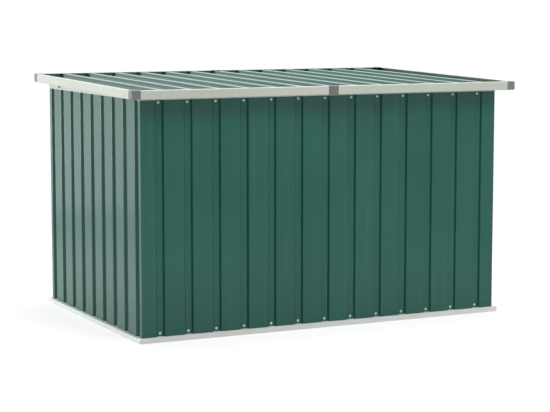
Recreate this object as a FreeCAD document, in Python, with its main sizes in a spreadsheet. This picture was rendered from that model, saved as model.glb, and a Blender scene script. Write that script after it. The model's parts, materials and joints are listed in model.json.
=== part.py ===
import FreeCAD, Part
import math
import os
from types import SimpleNamespace

import Sketcher

# Garden storage box of ribbed steel sheet, with a hinged, gently sloping lid that two gas struts hold open.
# Millimetres and degrees. X runs along the front, Y from front to back and Z up.
# The origin lies on the ground under the middle of the lid.

SIZES = {
    # lid in plan, and how far it stands out past the walls
    "lid_length": 1490,
    "lid_depth": 990,
    "side_overhang": 50,
    "front_overhang": 56,
    "back_overhang": 30,
    "lid_tilt": 1.1,
    "wall_height": 837,
    "lid_seat_gap": 0.5,
    # ribbed sheet, the same for the walls and the lid
    "sheet_thickness": 0.8,
    "groove_pitch": 104.3,
    "groove_opening": 32,
    "groove_floor": 22,
    "groove_depth": 10,
    "front_margin": 50,
    "side_margin": 30,
    "lid_margin": 100,
    "wide_panel_groove_count": 8,
    "lap_width": 25,
    "lap_root": 10,
    # folded rails at the foot and the top of the walls
    "rail_thickness": 1.2,
    "base_height": 17,
    "base_ledge": 13.5,
    "base_upstand": 32,
    "ground_flange": 40,
    "top_rail_outer": 24,
    "top_rail_inner": 46,
    "fit_gap": 0.2,
    "post_front_leg": 32,
    "post_side_leg": 13,
    "post_thickness": 1.5,
    # ground anchor holes
    "anchor_hole_radius": 4.5,
    "anchor_inset": 26,
    "anchor_spacing": 600,
    # wall screws
    "screw_flange_radius": 4.8,
    "screw_flange_thickness": 1,
    "screw_head_radius": 3.4,
    "screw_head_height": 2.6,
    "screw_shank_radius": 2,
    "screw_shank_length": 12,
    "top_screw_drop": 31.5,
    "base_screw_rise": 10,
    # lid edge rails, corner caps, connectors and stiffener bars
    "lid_rail_height": 30,
    "lid_lip_top": 14,
    "lid_lip_bottom": 18,
    "cap_size": 31,
    "cap_wall": 2,
    "cap_proud": 0.5,
    "tongue_length": 20,
    "tongue_thickness": 1.5,
    "connector_width": 38,
    "bar_width": 40,
    "bar_depth": 14,
    "bar_inset": 67,
    "bar_end_gap": 15,
    # hinges
    "hinge_length": 80,
    "hinge_inset": 5,
    "knuckle_radius": 5,
    "knuckle_gap": 0.4,
    "hinge_pin_radius": 2.5,
    "hinge_pin_head": 1.5,
    "leaf_thickness": 1.5,
    "wall_leaf_height": 19,
    "lid_leaf_reach": 21,
    "rivet_spacing": 56,
    "rivet_radius": 2,
    "rivet_head_radius": 4,
    "rivet_head_height": 1.6,
    # gas struts
    "running_gap": 0.05,
    "strut_inset": 30,
    "strut_back": 117,
    "strut_drop": 11.5,
    "strut_reach": 600,
    "strut_hang": 4,
    "strut_eye_radius": 10,
    "strut_eye_thickness": 12,
    "strut_side_gap": 0.4,
    "pivot_bolt_radius": 4,
    "pivot_head_radius": 6.5,
    "pivot_head_height": 4,
    "bush_radius": 7,
    "tube_radius": 9,
    "tube_wall": 1.5,
    "tube_plug": 12,
    "rod_radius": 4,
    "rod_show": 42,
    "piston_length": 10,
    "piston_gap": 0.1,
    "bracket_thickness": 2,
    "bracket_length": 50,
    "bracket_margin": 10,
    "stud_radius": 5,
}

doc = FreeCAD.newDocument("garden_storage_box")
sheet = doc.addObject("Spreadsheet::Sheet", "Sizes")
for row, (name, value) in enumerate(SIZES.items(), start=1):
    sheet.set(f"A{row}", name)
    sheet.set(f"B{row}", str(value))
    sheet.setAlias(f"B{row}", name)
doc.recompute()


class Size:
    """A measure that knows its number and the expression that ties it to the sheet."""

    def __init__(self, value, text):
        self.value = value
        self.text = text

    def __add__(self, other):
        other = as_size(other)
        return Size(self.value + other.value, f"({self.text} + {other.text})")

    def __sub__(self, other):
        other = as_size(other)
        return Size(self.value - other.value, f"({self.text} - {other.text})")

    def __mul__(self, other):
        other = as_size(other)
        return Size(self.value * other.value, f"({self.text} * {other.text})")

    def __truediv__(self, other):
        other = as_size(other)
        return Size(self.value / other.value, f"({self.text} / {other.text})")

    def __neg__(self):
        return Size(-self.value, f"(-1 * {self.text})")

    def __rmul__(self, other):
        return as_size(other) * self

    def __rsub__(self, other):
        return as_size(other) - self


def as_size(measure):
    """A plain number takes part in sums as a size of its own."""
    return measure if isinstance(measure, Size) else Size(measure, f"({measure})")


def root(size):
    return Size(math.sqrt(size.value), f"sqrt({size.text})")


def whole(size):
    return Size(math.floor(size.value), f"floor({size.text})")


mm = SimpleNamespace(**{name: Size(sheet.get(name), f"Sizes.{name}") for name in SIZES})
ZERO = as_size(0)

# Measures that follow from the driving sizes

wall_length = mm.lid_length - 2 * mm.side_overhang
wall_depth = mm.lid_depth - mm.front_overhang - mm.back_overhang
half_length = wall_length / 2
half_depth = wall_depth / 2
wall_centre = (mm.front_overhang - mm.back_overhang) / 2
back_plane = wall_centre + half_depth

profile_depth = mm.groove_depth + mm.sheet_thickness
flank_run = (mm.groove_opening - mm.groove_floor) / 2
flank_length = root(flank_run * flank_run + mm.groove_depth * mm.groove_depth)
bend_shift = mm.sheet_thickness * (flank_length - flank_run) / mm.groove_depth

flange_near = profile_depth + mm.fit_gap
flange_far = flange_near + mm.rail_thickness
trim_face = mm.fit_gap + mm.rail_thickness
panel_height = mm.wall_height - mm.base_height - mm.rail_thickness - mm.fit_gap
top_screw_height = mm.wall_height - mm.top_screw_drop
base_screw_height = mm.base_height + mm.base_screw_rise

tilt = mm.lid_tilt
tilt_sine = Size(math.sin(math.radians(tilt.value)), f"sin({tilt.text} * 1 deg)")
tilt_cosine = Size(math.cos(math.radians(tilt.value)), f"cos({tilt.text} * 1 deg)")
pan_level = mm.lid_rail_height - mm.rail_thickness - mm.fit_gap - profile_depth
lid_top = mm.lid_rail_height + mm.cap_proud
lid_y = (lid_top * tilt_sine - mm.lid_depth * tilt_cosine) / 2
lid_z = mm.wall_height + mm.lid_seat_gap - mm.front_overhang * tilt_sine - pan_level * tilt_cosine

axis_y = back_plane + trim_face + mm.knuckle_radius
axis_drop = -mm.knuckle_radius
axis_run = (axis_y - lid_y + axis_drop * tilt_sine) / tilt_cosine
axis_z = lid_z + axis_run * tilt_sine + axis_drop * tilt_cosine

pivot_y = back_plane - mm.strut_back
pivot_z = mm.wall_height - mm.strut_drop
stud_run = axis_run - mm.strut_reach
stud_y = lid_y + stud_run * tilt_cosine + mm.strut_hang * tilt_sine
stud_z = lid_z + stud_run * tilt_sine - mm.strut_hang * tilt_cosine
strut_forward = pivot_y - stud_y
strut_rise = stud_z - pivot_z
strut_length = root(strut_forward * strut_forward + strut_rise * strut_rise)
strut_slope = strut_rise / strut_forward

pieces = []


# Drawing helpers

NORMAL = {"XY_Plane": 1, "XZ_Plane": -1, "YZ_Plane": 1}


def bind(thing, prop, size):
    thing.setExpression(prop, as_size(size).text)


def origin_feature(piece, role):
    return next(feature for feature in piece.Origin.OriginFeatures if feature.Role == role)


def new_body(label):
    piece = doc.addObject("PartDesign::Body", label)
    piece.Label = label
    pieces.append(piece)
    return piece


def new_sketch(piece, role, start):
    """A sketch on one of the piece's own planes, moved to start along the axis across that plane."""
    sketch = piece.newObject("Sketcher::SketchObject", f"{piece.Label}_sketch")
    sketch.AttachmentSupport = [(origin_feature(piece, role), "")]
    sketch.MapMode = "FlatFace"
    bind(sketch, "AttachmentOffset.Base.z", NORMAL[role] * as_size(start))
    return sketch


def fix_point(sketch, element, position, point):
    for kind, measure in zip(("DistanceX", "DistanceY"), point):
        constraint = Sketcher.Constraint(kind, -1, 1, element, position, measure.value)
        number = sketch.addConstraint(constraint)
        bind(sketch, f"Constraints[{number}]", measure)


def draw_polygon(sketch, points):
    points = [(as_size(across), as_size(along)) for across, along in points]
    corners = [FreeCAD.Vector(across.value, along.value, 0) for across, along in points]
    count = len(points)
    for number, corner in enumerate(corners):
        sketch.addGeometry(Part.LineSegment(corner, corners[(number + 1) % count]))
    for number in range(count):
        sketch.addConstraint(Sketcher.Constraint("Coincident", number, 2, (number + 1) % count, 1))
    for number, point in enumerate(points):
        fix_point(sketch, number, 1, point)


def draw_circles(sketch, centres, radius):
    up = FreeCAD.Vector(0, 0, 1)
    for number, (across, along) in enumerate(centres):
        across = as_size(across)
        along = as_size(along)
        middle = FreeCAD.Vector(across.value, along.value, 0)
        sketch.addGeometry(Part.Circle(middle, up, radius.value))
        fix_point(sketch, number, 3, (across, along))
        constraint = sketch.addConstraint(Sketcher.Constraint("Radius", number, radius.value))
        bind(sketch, f"Constraints[{constraint}]", radius)


def finish_feature(piece, kind, sketch, length, backwards):
    feature = piece.newObject(f"PartDesign::{kind}", f"{piece.Label}_{kind.lower()}")
    feature.Profile = sketch
    feature.Reversed = backwards
    bind(feature, "Length", length)
    return feature


def extrude(piece, role, points, start, length):
    """Adds a prism on the outline, from start along the plane's axis."""
    sketch = new_sketch(piece, role, start)
    draw_polygon(sketch, points)
    return finish_feature(piece, "Pad", sketch, length, NORMAL[role] < 0)


def carve(piece, role, points, start, length):
    """Cuts a prism on the outline, from start along the plane's axis."""
    sketch = new_sketch(piece, role, start)
    draw_polygon(sketch, points)
    return finish_feature(piece, "Pocket", sketch, length, NORMAL[role] > 0)


def raise_discs(piece, role, centres, radius, start, length):
    sketch = new_sketch(piece, role, start)
    draw_circles(sketch, centres, radius)
    return finish_feature(piece, "Pad", sketch, length, NORMAL[role] < 0)


def drill(piece, role, centres, radius, start, length):
    sketch = new_sketch(piece, role, start)
    draw_circles(sketch, centres, radius)
    return finish_feature(piece, "Pocket", sketch, length, NORMAL[role] > 0)


def repeat_along_x(piece, features, pitch, count):
    pattern = piece.newObject("PartDesign::LinearPattern", f"{piece.Label}_pattern")
    pattern.Originals = features
    pattern.Direction = (origin_feature(piece, "X_Axis"), [""])
    bind(pattern, "Length", pitch * (count - 1))
    bind(pattern, "Occurrences", count)
    piece.Tip = pattern


def rectangle(left, right, low, high):
    return [(left, low), (right, low), (right, high), (left, high)]


def put(thing, x, y, z, turn_axis=(0, 0, 1), turn=0):
    """Places a thing, its seat bound to the sheet and its turn given as a number or an expression."""
    thing.Placement = FreeCAD.Placement(FreeCAD.Vector(), FreeCAD.Rotation(FreeCAD.Vector(*turn_axis), 1))
    bind(thing, "Placement.Base.x", x)
    bind(thing, "Placement.Base.y", y)
    bind(thing, "Placement.Base.z", z)
    thing.setExpression("Placement.Rotation.Angle", f"{turn} * 1 deg")


def put_on_lid(thing):
    """Lid pieces are drawn level, from the lid's front lower edge, and share its slope."""
    put(thing, ZERO, lid_y, lid_z, (1, 0, 0), mm.lid_tilt.text)


def block(name, x, y, z, length, width, height):
    solid = doc.addObject("Part::Box", name)
    bind(solid, "Length", length)
    bind(solid, "Width", width)
    bind(solid, "Height", height)
    put(solid, x, y, z)
    return solid


LYING = {"+X": ((0, 1, 0), 90), "+Y": ((1, 0, 0), -90), "-Y": ((1, 0, 0), 90), "+Z": ((0, 0, 1), 0)}


def rod_shape(name, direction, x, y, z, radius, length):
    solid = doc.addObject("Part::Cylinder", name)
    bind(solid, "Radius", radius)
    bind(solid, "Height", length)
    turn_axis, turn = LYING[direction]
    put(solid, x, y, z, turn_axis, turn)
    return solid


def merge(name, solids):
    joined = doc.addObject("Part::MultiFuse", name)
    joined.Shapes = solids
    return joined


def cut_away(name, solid, tools):
    result = doc.addObject("Part::Cut", name)
    result.Base = solid
    result.Tool = tools[0] if len(tools) == 1 else merge(f"{name}_tools", tools)
    return result


def keep(thing, label):
    thing.Label = label
    pieces.append(thing)
    return thing


# The four walls share one frame each: x along the wall, y inwards from its outer plane, z up

SIDES = {
    "front": (half_length, ZERO, wall_centre - half_depth, 0),
    "right": (half_depth, half_length, wall_centre, 90),
    "back": (half_length, ZERO, back_plane, 180),
    "left": (half_depth, -half_length, wall_centre, 270),
}


def put_on_wall(thing, side):
    half_run, x, y, turn = SIDES[side]
    put(thing, x, y, ZERO, (0, 0, 1), turn)


def groove_layout(run, margin):
    """How many grooves fit on a run with the least margin at each end, and where the first one lies."""
    count = whole((run - 2 * margin) / mm.groove_pitch) + 1
    return count, -((count - 1) * mm.groove_pitch / 2)


front_grooves, front_first = groove_layout(wall_length, mm.front_margin)
side_grooves, side_first = groove_layout(wall_depth, mm.side_margin)
lid_ribs, lid_first = groove_layout(mm.lid_length, mm.lid_margin)
WALL_GROOVES = {
    "front": (front_grooves, front_first),
    "back": (front_grooves, front_first),
    "left": (side_grooves, side_first),
    "right": (side_grooves, side_first),
}
screw_hole_radius = mm.screw_shank_radius + mm.fit_gap / 2
screw_rows = (base_screw_height, top_screw_height)


def mitred_strip(piece, half_run, outer, inner, low, height):
    """A flat strip of a rail that goes round the walls, its ends cut at half a right angle."""
    outer_end = half_run - outer - mm.fit_gap / 2
    inner_end = half_run - inner - mm.fit_gap / 2
    points = [(-outer_end, outer), (outer_end, outer), (inner_end, inner), (-inner_end, inner)]
    extrude(piece, "XY_Plane", points, low, height)


def screw_holes_in_rail(piece, side, height):
    count, first = WALL_GROOVES[side]
    hole = drill(piece, "XZ_Plane", [(first, height)], screw_hole_radius, profile_depth, flange_far)
    repeat_along_x(piece, [hole], mm.groove_pitch, count)


def base_rail(side):
    """Ground flange, outer face, ledge for the sheet and an upstand that the sheet is screwed to."""
    piece = new_body(f"base_rail_{side}")
    half_run = SIDES[side][0]
    skirt = -mm.base_ledge
    thickness = mm.rail_thickness
    mitred_strip(piece, half_run, skirt, mm.ground_flange, ZERO, thickness)
    mitred_strip(piece, half_run, skirt, skirt + thickness, ZERO, mm.base_height)
    mitred_strip(piece, half_run, skirt, flange_far, mm.base_height - thickness, thickness)
    upstand = mm.base_upstand + thickness
    mitred_strip(piece, half_run, flange_near, flange_far, mm.base_height - thickness, upstand)
    if side in ("left", "right"):
        places = [(sign * mm.anchor_spacing / 2, mm.anchor_inset) for sign in (-1, 1)]
        drill(piece, "XY_Plane", places, mm.anchor_hole_radius, -thickness, 3 * thickness)
    screw_holes_in_rail(piece, side, base_screw_height)
    put_on_wall(piece, side)


def hinge_places():
    outer = half_length - mm.hinge_inset - mm.hinge_length / 2
    return {"left": -outer, "centre": ZERO, "right": outer}


wall_rivet_height = mm.wall_height - mm.top_rail_outer + mm.rivet_head_radius + 2 * mm.fit_gap
lid_rivet_run = axis_run + mm.lid_leaf_reach - 2 * mm.rivet_head_radius
rivet_hole_radius = mm.rivet_radius + mm.fit_gap / 2
rivet_columns = [
    place + sign * mm.rivet_spacing / 2
    for place in hinge_places().values()
    for sign in (-1, 1)
]
bolt_hole_radius = mm.pivot_bolt_radius + mm.fit_gap / 2
pivot_column = {"left": mm.strut_back - half_depth, "right": half_depth - mm.strut_back}


def top_rail(side):
    """A channel that caps the sheet, with a short flange outside and a long one inside."""
    piece = new_body(f"top_rail_{side}")
    half_run = SIDES[side][0]
    thickness = mm.rail_thickness
    top = mm.wall_height
    mitred_strip(piece, half_run, -trim_face, flange_far, top - thickness, thickness)
    mitred_strip(piece, half_run, -trim_face, -mm.fit_gap, top - mm.top_rail_outer, mm.top_rail_outer)
    mitred_strip(piece, half_run, flange_near, flange_far, top - mm.top_rail_inner, mm.top_rail_inner)
    if side == "back":
        places = [(column, wall_rivet_height) for column in rivet_columns]
        drill(piece, "XZ_Plane", places, rivet_hole_radius, -2 * trim_face, 2 * trim_face)
    if side in pivot_column:
        place = (pivot_column[side], pivot_z)
        drill(piece, "XZ_Plane", [place], bolt_hole_radius, -2 * trim_face, 2 * trim_face + 2 * flange_far)
    screw_holes_in_rail(piece, side, top_screw_height)
    put_on_wall(piece, side)


def ribbed_sheet(piece, role, left, right, level, start, run, first, count):
    """A flat sheet with folded ribs on its high side, each one an open groove from the low side."""
    thickness = mm.sheet_thickness
    half_open = mm.groove_opening / 2
    half_floor = mm.groove_floor / 2
    back = level + thickness
    extrude(piece, role, rectangle(left, right, level, back), start, run)
    ridge = [
        (first - half_open - bend_shift, back),
        (first + half_open + bend_shift, back),
        (first + half_floor + bend_shift, level + profile_depth),
        (first - half_floor - bend_shift, level + profile_depth),
    ]
    rib = extrude(piece, role, ridge, start, run)
    repeat_along_x(piece, [rib], mm.groove_pitch, count)
    hollow = [
        (first - half_open, level),
        (first + half_open, level),
        (first + half_floor, level + mm.groove_depth),
        (first - half_floor, level + mm.groove_depth),
    ]
    recess = carve(piece, role, hollow, start, run)
    repeat_along_x(piece, [recess], mm.groove_pitch, count)


def lap_tongue(piece, role, seam, level, start, run):
    """The hem that passes behind the neighbouring sheet."""
    outline = rectangle(seam - mm.lap_width, seam + mm.lap_root, level, level + mm.sheet_thickness)
    extrude(piece, role, outline, start, run)


def wall_panel(label, side, left, right, first, count, seam=None):
    piece = new_body(label)
    ribbed_sheet(piece, "XY_Plane", left, right, ZERO, mm.base_height, panel_height, first, count)
    if seam is not None:
        lap_tongue(piece, "XY_Plane", seam, mm.sheet_thickness, mm.base_height, panel_height)
    if side in pivot_column:
        place = (pivot_column[side], pivot_z)
        drill(piece, "XZ_Plane", [place], bolt_hole_radius, -profile_depth, 3 * profile_depth)
    places = [(first, height) for height in screw_rows]
    holes = drill(piece, "XZ_Plane", places, screw_hole_radius, ZERO, 2 * profile_depth)
    repeat_along_x(piece, [holes], mm.groove_pitch, count)
    put_on_wall(piece, side)


def wall_panels(side):
    """Long walls are two panels lapped between two grooves, short walls are one panel."""
    count, first = WALL_GROOVES[side]
    half_run = SIDES[side][0]
    if side in pivot_column:
        end = half_run - mm.sheet_thickness - mm.fit_gap
        wall_panel(f"side_panel_{side}", side, -end, end, first, count)
        return
    wide = whole(mm.wide_panel_groove_count)
    seam = first + (wide - 0.5) * mm.groove_pitch
    wall_panel(f"{side}_panel_wide", side, -half_run, seam - mm.fit_gap, first, wide)
    next_groove = first + wide * mm.groove_pitch
    wall_panel(f"{side}_panel_narrow", side, seam, half_run, next_groove, count - wide, seam)


def wall_screws(side):
    """Flanged screws from outside, through each groove floor into the rails."""
    piece = new_body(f"wall_screws_{side}")
    count, first = WALL_GROOVES[side]
    places = [(first, height) for height in screw_rows]
    flange_start = mm.groove_depth - mm.screw_flange_thickness
    head_start = flange_start - mm.screw_head_height
    head = raise_discs(piece, "XZ_Plane", places, mm.screw_head_radius, head_start, mm.screw_head_height)
    flange = raise_discs(
        piece, "XZ_Plane", places, mm.screw_flange_radius, flange_start, mm.screw_flange_thickness
    )
    shank = raise_discs(
        piece, "XZ_Plane", places, mm.screw_shank_radius, mm.groove_depth, mm.screw_shank_length
    )
    repeat_along_x(piece, [head, flange, shank], mm.groove_pitch, count)
    put_on_wall(piece, side)


def corner_post(name, across, along):
    """An unequal angle behind the joint of two wall sheets; across and along are the corner's signs."""
    piece = new_body(f"corner_post_{name}")
    seat = mm.sheet_thickness + mm.fit_gap / 2
    long_end = seat + mm.post_front_leg
    short_end = seat + mm.post_side_leg
    inner = seat + mm.post_thickness
    corners = [(seat, seat), (long_end, seat), (long_end, inner)]
    corners += [(inner, inner), (inner, short_end), (seat, short_end)]
    points = [(across * (half_length - x), along * (half_depth - y)) for x, y in corners]
    height = panel_height - 2 * mm.fit_gap
    extrude(piece, "XY_Plane", points, mm.base_height + mm.fit_gap, height)
    put(piece, ZERO, wall_centre, ZERO)


# The lid is drawn level: x along the front, y from its front edge, z from its lower edge

rail_face = mm.cap_proud
rail_end = mm.lid_length / 2 - mm.cap_size - mm.fit_gap
rail_start = mm.connector_width / 2 + mm.fit_gap
tongue_near = rail_face + mm.rail_thickness + mm.fit_gap / 2
tongue_far = tongue_near + mm.tongue_thickness
tongue_low = mm.rail_thickness + mm.fit_gap / 2
tongue_high = pan_level - mm.fit_gap
sheet_inset = mm.cap_wall + mm.fit_gap
bar_start = mm.front_overhang + flange_far + mm.bar_end_gap
bar_end = mm.lid_depth - mm.back_overhang - flange_far - mm.bar_end_gap


def channel(face, wall, lid_height):
    """An edge rail's section, open to the inside: distance in from the lid's edge, then height."""
    thickness = mm.rail_thickness
    top = mm.lid_rail_height
    return [
        (face, ZERO),
        (mm.cap_proud + mm.lid_lip_bottom, ZERO),
        (mm.cap_proud + mm.lid_lip_bottom, thickness),
        (face + wall, thickness),
        (face + wall, top - thickness),
        (mm.cap_proud + mm.lid_lip_top, top - thickness),
        (mm.cap_proud + mm.lid_lip_top, lid_height),
        (face, lid_height),
    ]


rail_section = channel(rail_face, mm.rail_thickness, mm.lid_rail_height)
connector_section = channel(ZERO, mm.cap_wall, lid_top)


def from_edge(edge, inset):
    return inset if edge == "front" else mm.lid_depth - inset


def long_lid_rail(edge, name, hand):
    """Half of the lid's front or back rail; hand is -1 on the left and 1 on the right."""
    piece = new_body(f"lid_rail_{edge}_{name}")
    section = [(from_edge(edge, inset), height) for inset, height in rail_section]
    start = rail_start if hand > 0 else -rail_end
    extrude(piece, "YZ_Plane", section, start, rail_end - rail_start)
    if edge == "back":
        columns = [column for column in rivet_columns if column.value * hand > 0]
        places = [(column, lid_rivet_run) for column in columns]
        drill(piece, "XY_Plane", places, rivet_hole_radius, -mm.rail_thickness, 3 * mm.rail_thickness)
    put_on_lid(piece)


def side_lid_rail(name, hand):
    piece = new_body(f"lid_rail_{name}")
    section = [(hand * (mm.lid_length / 2 - inset), height) for inset, height in rail_section]
    start = mm.cap_size + mm.fit_gap
    extrude(piece, "XZ_Plane", section, start, mm.lid_depth - 2 * start)
    put_on_lid(piece)


def corner_block(name, hand, edge, spans):
    """A block measured from a lid corner: spans inwards along x, inwards along y, and in height."""
    (x_near, x_far), (y_near, y_far), (low, high) = spans
    x = mm.lid_length / 2 - x_far if hand > 0 else x_near - mm.lid_length / 2
    y = y_near if edge == "front" else mm.lid_depth - y_far
    return block(name, x, y, low, x_far - x_near, y_far - y_near, high - low)


def corner_cap(edge, name, hand):
    """A hollow moulded corner with a tongue inside each of the two rails that it joins."""
    label = f"lid_cap_{edge}_{name}"
    size = mm.cap_size
    reach = size + mm.tongue_length
    shell = corner_block(f"{label}_shell", hand, edge, ((ZERO, size), (ZERO, size), (ZERO, lid_top)))
    room = (mm.cap_wall, size + mm.cap_wall)
    clear = (mm.rail_thickness, mm.lid_rail_height - mm.rail_thickness)
    hollow = corner_block(f"{label}_hollow", hand, edge, (room, room, clear))
    rind = cut_away(f"{label}_rind", shell, [hollow])
    level = (tongue_low, tongue_high)
    thick = (tongue_near, tongue_far)
    long = (tongue_near, reach)
    tongues = [
        corner_block(f"{label}_tongue_x", hand, edge, (long, thick, level)),
        corner_block(f"{label}_tongue_y", hand, edge, (thick, long, level)),
    ]
    cap = keep(merge(f"{label}_merged", [rind] + tongues), label)
    put_on_lid(cap)


def mid_connector(edge):
    """A moulded joint between the two halves of a long rail, with a tongue inside each half."""
    piece = new_body(f"lid_connector_{edge}")
    section = [(from_edge(edge, inset), height) for inset, height in connector_section]
    half = mm.connector_width / 2
    extrude(piece, "YZ_Plane", section, -half, mm.connector_width)
    reach = half + mm.tongue_length
    near = mm.cap_wall - mm.fit_gap
    tongue = [(from_edge(edge, near), tongue_low), (from_edge(edge, tongue_far), tongue_low)]
    tongue += [(from_edge(edge, tongue_far), tongue_high), (from_edge(edge, near), tongue_high)]
    extrude(piece, "YZ_Plane", tongue, -reach, 2 * reach)
    put_on_lid(piece)


def lid_sheet(name, left, right, first, count, seam=None):
    piece = new_body(f"lid_sheet_{name}")
    run = mm.lid_depth - 2 * sheet_inset
    ribbed_sheet(piece, "XZ_Plane", left, right, pan_level, sheet_inset, run, first, count)
    if seam is not None:
        lap_tongue(piece, "XZ_Plane", seam, pan_level - mm.sheet_thickness, bar_start, bar_end - bar_start)
    put_on_lid(piece)


lid_left_ribs = whole(lid_ribs / 2)
lid_seam = lid_first + (lid_left_ribs - 0.5) * mm.groove_pitch


def lid_sheets():
    end = mm.lid_length / 2 - sheet_inset
    lid_sheet("left", -end, lid_seam - mm.fit_gap, lid_first, lid_left_ribs)
    next_rib = lid_first + lid_left_ribs * mm.groove_pitch
    lid_sheet("right", lid_seam, end, next_rib, lid_ribs - lid_left_ribs, lid_seam)


bar_column = half_length - mm.bar_inset


def lid_bar(name, column, top):
    """A channel under the lid sheet, open upwards, that stops short of the walls."""
    piece = new_body(f"lid_bar_{name}")
    half = mm.bar_width / 2
    thickness = mm.rail_thickness
    low = pan_level - mm.bar_depth
    points = [
        (column - half, top),
        (column - half, low),
        (column + half, low),
        (column + half, top),
        (column + half - thickness, top),
        (column + half - thickness, low + thickness),
        (column - half + thickness, low + thickness),
        (column - half + thickness, top),
    ]
    extrude(piece, "XZ_Plane", points, bar_start, bar_end - bar_start)
    put_on_lid(piece)


# Hinges: two outer knuckles on the wall leaf, a middle one on the lid leaf, and a pin through all three

knuckle = mm.hinge_length / 3
knuckle_room = mm.knuckle_radius + mm.knuckle_gap
hinge_bore = mm.hinge_pin_radius + mm.running_gap


def wall_leaf(name, place):
    label = f"hinge_wall_leaf_{name}"
    left = place - mm.hinge_length / 2
    seat = back_plane + trim_face
    height = mm.wall_leaf_height
    plate = block(f"{label}_plate", left, seat, axis_z - height, mm.hinge_length, mm.leaf_thickness, height)
    barrel = rod_shape(f"{label}_barrel", "+X", left, axis_y, axis_z, mm.knuckle_radius, mm.hinge_length)
    middle = left + knuckle - mm.knuckle_gap
    tools = [
        rod_shape(f"{label}_gap", "+X", middle, axis_y, axis_z, knuckle_room, knuckle + 2 * mm.knuckle_gap),
        rod_shape(f"{label}_bore", "+X", left, axis_y, axis_z, hinge_bore, mm.hinge_length),
    ]
    for number, sign in enumerate((-1, 1)):
        column = place + sign * mm.rivet_spacing / 2
        depth = 2 * mm.leaf_thickness
        hole = f"{label}_hole_{number}"
        tools.append(rod_shape(hole, "+Y", column, seat, wall_rivet_height, rivet_hole_radius, depth))
    keep(cut_away(f"{label}_cut", merge(f"{label}_raw", [plate, barrel]), tools), label)


def lid_leaf(name, place):
    label = f"hinge_lid_leaf_{name}"
    left = place - mm.hinge_length / 2
    thickness = mm.leaf_thickness
    reach = mm.lid_leaf_reach
    plate = block(f"{label}_plate", left, axis_run, -thickness, mm.hinge_length, reach, thickness)
    middle = left + knuckle
    barrel = rod_shape(f"{label}_barrel", "+X", middle, axis_run, axis_drop, mm.knuckle_radius, knuckle)
    tools = [rod_shape(f"{label}_bore", "+X", left, axis_run, axis_drop, hinge_bore, mm.hinge_length)]
    for number, start in enumerate((left, middle + knuckle)):
        gap = f"{label}_gap_{number}"
        tools.append(rod_shape(gap, "+X", start, axis_run, axis_drop, knuckle_room, knuckle))
    for number, sign in enumerate((-1, 1)):
        column = place + sign * mm.rivet_spacing / 2
        hole = f"{label}_hole_{number}"
        depth = 3 * thickness
        tools.append(rod_shape(hole, "+Z", column, lid_rivet_run, -2 * thickness, rivet_hole_radius, depth))
    leaf = keep(cut_away(f"{label}_cut", merge(f"{label}_raw", [plate, barrel]), tools), label)
    put_on_lid(leaf)


def hinge_pin(name, place):
    label = f"hinge_pin_{name}"
    left = place - mm.hinge_length / 2 - mm.knuckle_gap
    length = mm.hinge_length + 2 * mm.knuckle_gap
    head = mm.hinge_pin_head
    solids = [
        rod_shape(f"{label}_shank", "+X", left, axis_y, axis_z, mm.hinge_pin_radius, length),
        rod_shape(f"{label}_left", "+X", left - head, axis_y, axis_z, mm.hinge_pin_radius + head, head),
        rod_shape(f"{label}_right", "+X", left + length, axis_y, axis_z, mm.hinge_pin_radius + head, head),
    ]
    keep(merge(f"{label}_merged", solids), label)


def hinge_rivets():
    """One set holds the leaves to the back top rail, the other to the lid's back rail."""
    wall_set = new_body("hinge_rivets_wall")
    places = [(column, wall_rivet_height) for column in rivet_columns]
    head = -(trim_face + mm.leaf_thickness + mm.rivet_head_height)
    shank = mm.leaf_thickness + mm.rail_thickness
    raise_discs(wall_set, "XZ_Plane", places, mm.rivet_head_radius, head, mm.rivet_head_height)
    raise_discs(wall_set, "XZ_Plane", places, mm.rivet_radius, head + mm.rivet_head_height, shank)
    put_on_wall(wall_set, "back")
    lid_set = new_body("hinge_rivets_lid")
    places = [(column, lid_rivet_run) for column in rivet_columns]
    head = -(mm.leaf_thickness + mm.rivet_head_height)
    raise_discs(lid_set, "XY_Plane", places, mm.rivet_head_radius, head, mm.rivet_head_height)
    raise_discs(lid_set, "XY_Plane", places, mm.rivet_radius, -mm.leaf_thickness, shank)
    put_on_lid(lid_set)


# Gas struts, one inside each short wall

HANDS = {"left": -1, "right": 1}
eye_near = mm.strut_inset - mm.strut_eye_thickness / 2
eye_far = mm.strut_inset + mm.strut_eye_thickness / 2
pin_bore = mm.pivot_bolt_radius + mm.running_gap
tube_end = strut_length - mm.rod_show
tube_bore = mm.tube_radius - mm.tube_wall
rod_bore = mm.rod_radius + mm.running_gap
cavity_start = mm.strut_eye_radius + mm.tube_plug
piston_start = cavity_start + mm.fit_gap
piston_end = piston_start + mm.piston_length


def across_wall(hand, near, far):
    """Where a stretch starts in x that lies between two distances in from a short wall's plane."""
    return half_length - far if hand > 0 else near - half_length


def wall_rod(name, hand, near, far, radius):
    return rod_shape(name, "+X", across_wall(hand, near, far), pivot_y, pivot_z, radius, far - near)


def pivot_bolt(name, hand):
    label = f"strut_bolt_{name}"
    head = -trim_face
    nut = eye_far + mm.strut_side_gap
    solids = [
        wall_rod(f"{label}_head", hand, head - mm.pivot_head_height, head, mm.pivot_head_radius),
        wall_rod(f"{label}_shank", hand, head, nut, mm.pivot_bolt_radius),
        wall_rod(f"{label}_nut", hand, nut, nut + mm.pivot_head_height, mm.pivot_head_radius),
    ]
    keep(merge(f"{label}_merged", solids), label)


def pivot_bush(name, hand):
    """Holds the strut clear of the wall."""
    label = f"strut_bush_{name}"
    end = eye_near - mm.strut_side_gap
    ring = wall_rod(f"{label}_ring", hand, flange_far, end, mm.bush_radius)
    bore = wall_rod(f"{label}_bore", hand, flange_far, end, bolt_hole_radius)
    keep(cut_away(f"{label}_cut", ring, [bore]), label)


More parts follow.
